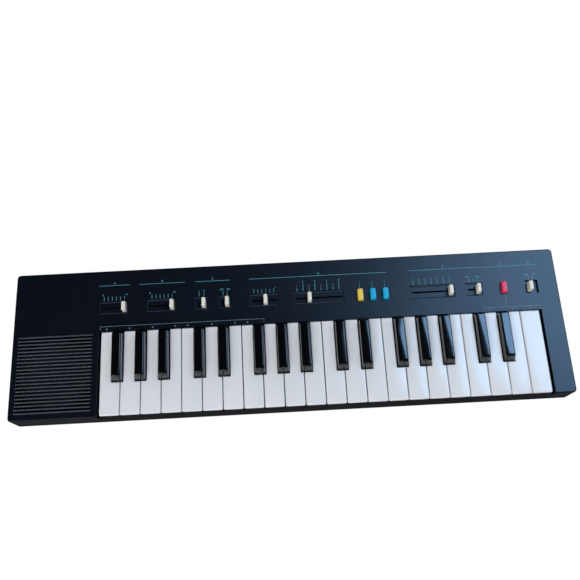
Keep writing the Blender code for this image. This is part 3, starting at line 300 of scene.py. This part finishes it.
def grown(name, host_mesh, tree, names, values, material, shift=(0, 0, 0)):
    """Runs a tree on a mesh and keeps the result as a plain mesh at the origin."""
    host = bpy.data.objects.new(name + "_host", host_mesh)
    bpy.context.scene.collection.objects.link(host)
    modifier = host.modifiers.new("nodes", "NODES")
    modifier.node_group = tree
    for label, value in values.items():
        modifier[names[label]] = value
    graph = bpy.context.evaluated_depsgraph_get()
    graph.update()
    mesh = bpy.data.meshes.new_from_object(host.evaluated_get(graph), depsgraph=graph)
    host.modifiers.clear()
    bpy.data.objects.remove(host)
    mesh.transform(Matrix.Translation(shift))
    mesh.name = name
    form = bmesh.new()
    form.from_mesh(mesh)
    shade(form)
    form.to_mesh(mesh)
    form.free()
    return as_object(name, mesh, material)


def points_mesh(rows):
    """A mesh of loose points, each with a size along X, Y and Z."""
    mesh = bpy.data.meshes.new("points")
    mesh.from_pydata([place for place, _ in rows], [], [])
    sizes = mesh.attributes.new("size", "FLOAT_VECTOR", "POINT")
    for item, (_, size) in zip(sizes.data, rows):
        item.vector = size
    return mesh


SCATTER, SCATTER_NAMES = scatter_tree()


def scattered(name, shape, rows, material):
    values = {"Shape": shape, "Material": material}
    item = grown(name, points_mesh(rows), SCATTER, SCATTER_NAMES, values, material)
    bpy.data.objects.remove(shape)
    return item


# CAD nodes that stay as they are and get their finish

CARRIED = {
    "upper_case": "case", "lower_case": "base", "battery_cover": "base", "battery_contact": "steel",
    "key_frame": "frame", "key_contact_board": "board", "key_contact_strip": "rubber",
    "control_board": "control", "speaker": "paper", "jack_block": "jack",
}
for node, finish_name in CARRIED.items():
    item = frame["nodes"][node]
    item.data.materials.clear()
    item.data.materials.append(MATERIALS[finish_name])

# Keys

for node in sorted(frame["nodes"]):
    if node.startswith("white_key"):
        finer(node, node + "_finished", MATERIALS["white_key"], WHITE_TOP - 0.0011, 0.00028)
    elif node.startswith("black_key"):
        finer(node, node + "_finished", MATERIALS["black_key"], BLACK_TOP - 0.0015, 0.00035)

# Caps and buttons

CAPS = ("master_volume_slider", "accompaniment_volume_slider", "variation_switch", "chord_switch",
        "tempo_slider", "rhythm_selector", "orchestra_selector", "sustain_switch", "power_switch")
for node in CAPS:
    finer(node, node + "_cap", MATERIALS["cap"], PANEL + 0.003, 0.00016)
for node, colour in (("stop_button", "yellow"), ("sync_start_button", "blue"), ("start_button", "blue"),
                     ("melody_button", "red")):
    finer(node, node + "_cap", MATERIALS[colour], PANEL + 0.003, 0.0003)

# Grille ribs

tree, names = grille_tree()
ribs = grown("grille_ribs", bpy.data.meshes.new("empty"), tree, names,
             {"Count": GRILLE_RIBS, "Pitch": GRILLE_PITCH, "Length": GRILLE_WIDTH, "Rib Radius": 0.0008,
              "Material": MATERIALS["rib"]}, MATERIALS["rib"], (*GRILLE_CENTRE, PANEL - 0.00015))
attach(ribs, "housing")

# Printing

def ticks(first, last, count, low=0.0425, high=0.0470):
    """Tick marks at a slider's detents."""
    rows = []
    for i in range(count):
        x = first + (last - first) * i / max(count - 1, 1)
        rows.append(((x, (low + high) / 2, PANEL), (0.00034, high - low, 0.00005)))
    return rows


tick_rows = ticks(-0.1859, -0.1653, 6) + ticks(-0.1375, -0.1170, 6) + ticks(-0.0897, -0.0849, 2)
tick_rows += ticks(-0.0653, -0.0613, 2) + ticks(-0.0340, -0.0138, 6) + ticks(0.1286, 0.1658, 7)
tick_rows += ticks(0.1858, 0.1939, 3) + ticks(0.2469, 0.2509, 2)
for i in range(8):
    tick_rows += ticks(0.0100 + 0.0428 * i / 7, 0, 1, 0.0425, 0.0505 if i % 2 else 0.0460)
for x in (0.0737, 0.0866, 0.0995, 0.2200):
    tick_rows += ticks(x, 0, 1, 0.0428, 0.0458)
form = bmesh.new()
bmesh.ops.create_cube(form, size=1.0)
cube = from_form("tick_shape", form, MATERIALS["ink"])
marks = scattered("printed_ticks", cube, tick_rows, MATERIALS["ink"])
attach(marks, "housing")

LINE = 0.00032
RULES = [  # headers over groups of controls: first X, last X, Y
    (-0.1910, -0.1603, 0.0589), (-0.1503, -0.1042, 0.0587), (-0.0932, -0.0581, 0.0585),
    (-0.0386, 0.1025, 0.0584),
    (0.1252, 0.1981, 0.0587), (0.2004, 0.2394, 0.0584), (0.2419, 0.2560, 0.0587),
]
BRACKETS = [(-0.1888, -0.0250, 0.0155), (0.1964, 0.2535, 0.0148)]
DROPS = [  # short lines along Y: X, first Y, last Y
    (-0.1888, 0.0121, 0.0155), (-0.0250, 0.0121, 0.0155), (0.2204, 0.0148, 0.0285),
    (0.1964, 0.0112, 0.0148), (0.2029, 0.0112, 0.0148), (0.2264, 0.0112, 0.0148), (0.2434, 0.0112, 0.0148),
    (0.2535, 0.0112, 0.0148),
]
form = bmesh.new()
for x0, x1, y in RULES:
    slab(form, x0, x1, y - LINE / 2, y + LINE / 2)
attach(from_form("printed_rules", form, MATERIALS["ink"]), "housing")

form = bmesh.new()
for x0, x1, y in BRACKETS:
    slab(form, x0, x1, y - LINE / 2, y + LINE / 2)
for x, y0, y1 in DROPS:
    slab(form, x - LINE / 2, x + LINE / 2, y0, y1)
for x in (-0.1823, -0.1596, -0.1365, -0.1138, -0.1014, -0.0775, -0.0542, -0.0415):
    slab(form, x - 0.0006, x + 0.0006, 0.0120, 0.0132)
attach(from_form("printed_brackets", form, MATERIALS["pale_ink"]), "housing")

LABELS = [  # words, X, Y, height
    ("0", -0.1872, 0.0486, 0.0024), ("10", -0.1636, 0.0486, 0.0024),
    ("0", -0.1395, 0.0486, 0.0024), ("10", -0.1150, 0.0486, 0.0024),
    ("1", -0.0897, 0.0486, 0.0024), ("2", -0.0849, 0.0486, 0.0024),
    ("OFF", -0.0668, 0.0486, 0.0022), ("ON", -0.0600, 0.0486, 0.0022),
    ("-", -0.0362, 0.0481, 0.0024), ("+", -0.0118, 0.0481, 0.0024),
    ("OFF", 0.1840, 0.0486, 0.0022), ("ON", 0.1950, 0.0486, 0.0022),
    ("OFF", 0.2449, 0.0481, 0.0022), ("ON", 0.2529, 0.0481, 0.0022),
]
LABELS += [(str(i + 1), 0.0100 + 0.0428 * i / 7, 0.0526 if i % 2 else 0.0476, 0.0024) for i in range(8)]
LABELS += [(str(i + 1), 0.1286 + 0.0372 * i / 6, 0.0486, 0.0024) for i in range(7)]
LABELS += [(str(i + 1), x, 0.0481, 0.0024) for i, x in enumerate((0.0737, 0.0866, 0.0995))]
# One plain letter over each group of controls
LABELS += [(letter, x, y, 0.0030) for letter, x, y in (
    ("A", -0.1756, 0.0613), ("B", -0.1272, 0.0611), ("C", -0.0757, 0.0609), ("D", 0.0323, 0.0609),
    ("E", 0.1606, 0.0611), ("F", 0.2199, 0.0609), ("G", 0.2490, 0.0611))]


def lettering(name, rows, material):
    """Words as one plain mesh that lies on the panel."""
    form = bmesh.new()
    for words, x, y, height in rows:
        curve = bpy.data.curves.new("words", "FONT")
        curve.body = words
        curve.size = height
        curve.align_x, curve.align_y = "CENTER", "CENTER"
        curve.extrude = PRINT_RISE
        text = bpy.data.objects.new("words", curve)
        bpy.context.scene.collection.objects.link(text)
        graph = bpy.context.evaluated_depsgraph_get()
        graph.update()
        mesh = bpy.data.meshes.new_from_object(text.evaluated_get(graph))
        mesh.transform(Matrix.Translation((x, y, PANEL)))
        form.from_mesh(mesh)
        bpy.data.objects.remove(text)
    return from_form(name, form, material)


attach(lettering("printed_labels", LABELS, MATERIALS["ink"]), "housing")

# Rails along both sides of each slider's pocket, clear of the caps' stroke; their lighter colour is a painted
# highlight on the pockets' edges

POCKETS = ((-0.1859, -0.1653), (-0.1375, -0.1170), (-0.0897, -0.0849), (-0.0653, -0.0613), (-0.0340, -0.0138),
           (0.0100, 0.0528), (0.1286, 0.1658), (0.1858, 0.1939))
POCKET_FLOOR = 0.0328
form = bmesh.new()
for first, last in POCKETS:
    for side in (-1, 1):
        y = ROW_Y + side * 0.0058
        rings = []
        for inset, rise in ((0.0, -0.0001), (0.0, 0.0005), (0.0001, 0.0006)):
            z = POCKET_FLOOR + rise
            x0, x1 = first - 0.0038 + inset, last + 0.0038 - inset
            rings.append([(x0, y - 0.0004 + inset, z), (x1, y - 0.0004 + inset, z),
                          (x1, y + 0.0004 - inset, z), (x0, y + 0.0004 - inset, z)])
        loft(form, rings)
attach(from_form("pocket_rails", form, MATERIALS["pocket"]), "housing")

# Screws, feet and socket rings, which the CAD leaves plain

def screw_shape():
    """A pan head with a cross recess, head down, seated at the origin."""
    form = bmesh.new()
    steps = 24
    profile = [
        (0.0012, 0.0040), (0.0012, 0.0), (0.0026, 0.0), (0.0026, -0.0007), (0.0021, -0.0015), (0.0012, -0.0019)]
    loft(form, [ring_points(r, z, steps) for r, z in profile])
    item = from_form("screw_shape", form, MATERIALS["screw"])
    cutter_form = bmesh.new()
    for length, width in ((0.0026, 0.0005), (0.0005, 0.0026)):
        corners = [(sx * length / 2, sy * width / 2) for sx, sy in ((-1, -1), (1, -1), (1, 1), (-1, 1))]
        loft(cutter_form, [[(x, y, z) for x, y in corners] for z in (-0.0025, -0.0010)])
    cutter = from_form("cutter", cutter_form, MATERIALS["screw"])
    cut = item.modifiers.new("cut", "BOOLEAN")
    cut.object, cut.operation, cut.solver = cutter, "DIFFERENCE", "EXACT"
    cut.use_self = True
    graph = bpy.context.evaluated_depsgraph_get()
    graph.update()
    mesh = bpy.data.meshes.new_from_object(item.evaluated_get(graph))
    item.modifiers.clear()
    item.data = mesh
    bpy.data.objects.remove(cutter)
    return item


screws = scattered("case_screws", screw_shape(),
                   [((x, y, SCREW_SEAT), (1, 1, 1)) for x, y in SCREW_PLACES], MATERIALS["screw"])
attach(screws, "housing")

# The pads' faces lie a hair below the plain feet's, so that the two surfaces don't show through each other
FOOT_SKIN = 0.00002
form = bmesh.new()
loft(form, [ring_points(r, z, 40) for r, z in (
    (0.0064, -FOOT_SKIN), (0.0070, 0.0003), (0.00715, 0.0008), (0.00715, 0.0014), (0.0069, 0.00165))])
foot = from_form("foot_shape", form, MATERIALS["foot"])
feet = scattered("rubber_feet", foot, [((x, y, 0), (1, 1, 1)) for x, y in FOOT_PLACES], MATERIALS["foot"])
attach(feet, "housing")

RING_SECTION = ((0.0034, -0.0006), (0.0034, 0.00015), (0.0044, 0.00015), (0.0046, -0.0001), (0.0046, -0.0006))
form = bmesh.new()
for x in SOCKETS:
    rows = []
    for radius, y in RING_SECTION:
        rows.append([form.verts.new((x + radius * math.cos(2 * math.pi * i / 32), SOCKET_Y + y,
                                     SOCKET_Z + radius * math.sin(2 * math.pi * i / 32))) for i in range(32)])
    for low, high in zip(rows, rows[1:] + rows[:1]):
        for i in range(32):
            form.faces.new((low[i], low[(i + 1) % 32], high[(i + 1) % 32], high[i]))
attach(from_form("socket_rings", form, MATERIALS["steel"]), "housing")


# Floor, light and camera

def backdrop(name):
    """White paper: almost pure white to the camera, softly shadowed, and dull in reflections."""
    material = bpy.data.materials.new(name)
    material.use_nodes = True
    tree = material.node_tree
    shader = tree.nodes["Principled BSDF"]
    shader.inputs["Roughness"].default_value = 0.9
    shader.inputs["Specular IOR Level"].default_value = 0.1
    place = add(tree, "ShaderNodeTexCoord").outputs["Object"]
    noise = add(tree, "ShaderNodeTexNoise", {"Vector": place, "Scale": 3.0}).outputs["Fac"]
    tone = add(tree, "ShaderNodeMapRange", {"Value": noise, "To Min": 0.93, "To Max": 0.95}).outputs["Result"]
    rays = add(tree, "ShaderNodeLightPath")
    dull = add(tree, "ShaderNodeMapRange", {
        "Value": rays.outputs["Is Glossy Ray"], "To Min": 1.0, "To Max": 0.12}).outputs["Result"]
    paper = add(tree, "ShaderNodeMath", {0: tone, 1: dull}, operation="MULTIPLY").outputs[0]
    tree.links.new(paper, shader.inputs["Base Color"])
    glow = add(tree, "ShaderNodeEmission", {"Color": (1, 1, 1, 1), "Strength": 1.06}).outputs["Emission"]
    seen = rays.outputs["Is Camera Ray"]
    share = add(tree, "ShaderNodeMath", {0: seen, 1: 0.90}, operation="MULTIPLY").outputs[0]
    mix = add(tree, "ShaderNodeMixShader", {0: share, 1: shader.outputs["BSDF"], 2: glow})
    tree.links.new(mix.outputs["Shader"], tree.nodes["Material Output"].inputs["Surface"])
    return material


form = bmesh.new()
bmesh.ops.create_grid(form, x_segments=2, y_segments=2, size=12.0)
floor = from_form("floor", form, backdrop("white_backdrop_paper"))

world = bpy.data.worlds.new("studio")
bpy.context.scene.world = world
world.use_nodes = True
# The room is even and cool for what it lights, dark in reflections, and white behind the object
sky = world.node_tree
path = add(sky, "ShaderNodeLightPath")
background = sky.nodes["Background"]
background.inputs["Color"].default_value = (0.90, 0.94, 1.0, 1)
lit = add(sky, "ShaderNodeMapRange", {
    "Value": path.outputs["Is Glossy Ray"], "To Min": 0.22, "To Max": 0.012}).outputs["Result"]
shown = add(sky, "ShaderNodeMath", {0: path.outputs["Is Camera Ray"], 1: lit}, operation="MAXIMUM").outputs[0]
sky.links.new(shown, background.inputs["Strength"])


def lamp(name, place, target, size, power, colour=(1, 1, 1), lights=True, mirrored=True):
    data = bpy.data.lights.new(name, "AREA")
    data.shape, data.size, data.size_y = "RECTANGLE", size[0], size[1]
    data.energy, data.color = power, colour
    item = bpy.data.objects.new(name, data)
    bpy.context.scene.collection.objects.link(item)
    item.location = place
    item.rotation_mode = "QUATERNION"
    item.rotation_quaternion = (Vector(target) - Vector(place)).to_track_quat("-Z", "Y")
    item.visible_diffuse, item.visible_glossy = lights, mirrored
    return item


lamp("front_softbox", (-0.5, -1.4, 1.3), (0, 0, 0), (1.6, 0.9), 22, mirrored=False)
lamp("front_strip", (-0.3, -1.2, 1.0), (0, 0, 0), (1.4, 0.12), 5, lights=False)
lamp("right_window", (1.05, 0.55, 1.5), (0.15, 0.0, 0), (0.9, 1.1), 6, (0.62, 0.80, 1.0))
lamp("window_in_gloss", (1.0, 0.55, 1.5), (0.15, 0.0, 0), (0.8, 1.0), 16, (0.24, 0.55, 1.0), lights=False)
lamp("overhead", (-0.1, -0.3, 2.0), (0, 0, 0), (1.0, 0.6), 9, mirrored=False)

FOCAL = 45.43  # millimetres on a 36 mm sensor, from the camera fit
CAMERA_ROWS = (  # its right, down and forward ways
    (0.998587, -0.053073, -0.002753), (-0.050994, -0.942296, -0.330876), (0.014967, 0.330548, -0.94367))
CAMERA_PLACE = (-0.0084, -0.2018, 0.7369)
camera_data = bpy.data.cameras.new("camera")
camera_data.sensor_fit, camera_data.sensor_width, camera_data.lens = "HORIZONTAL", 36.0, FOCAL
camera_data.clip_start = 0.01
camera = bpy.data.objects.new("camera", camera_data)
bpy.context.scene.collection.objects.link(camera)
right, down, forward = (Vector(r) for r in CAMERA_ROWS)
turn = Matrix((right, -down, -forward)).transposed().to_4x4()
camera.matrix_world = Matrix.Translation(CAMERA_PLACE) @ turn
bpy.context.scene.camera = camera
bpy.context.scene.view_settings.view_transform = "Standard"
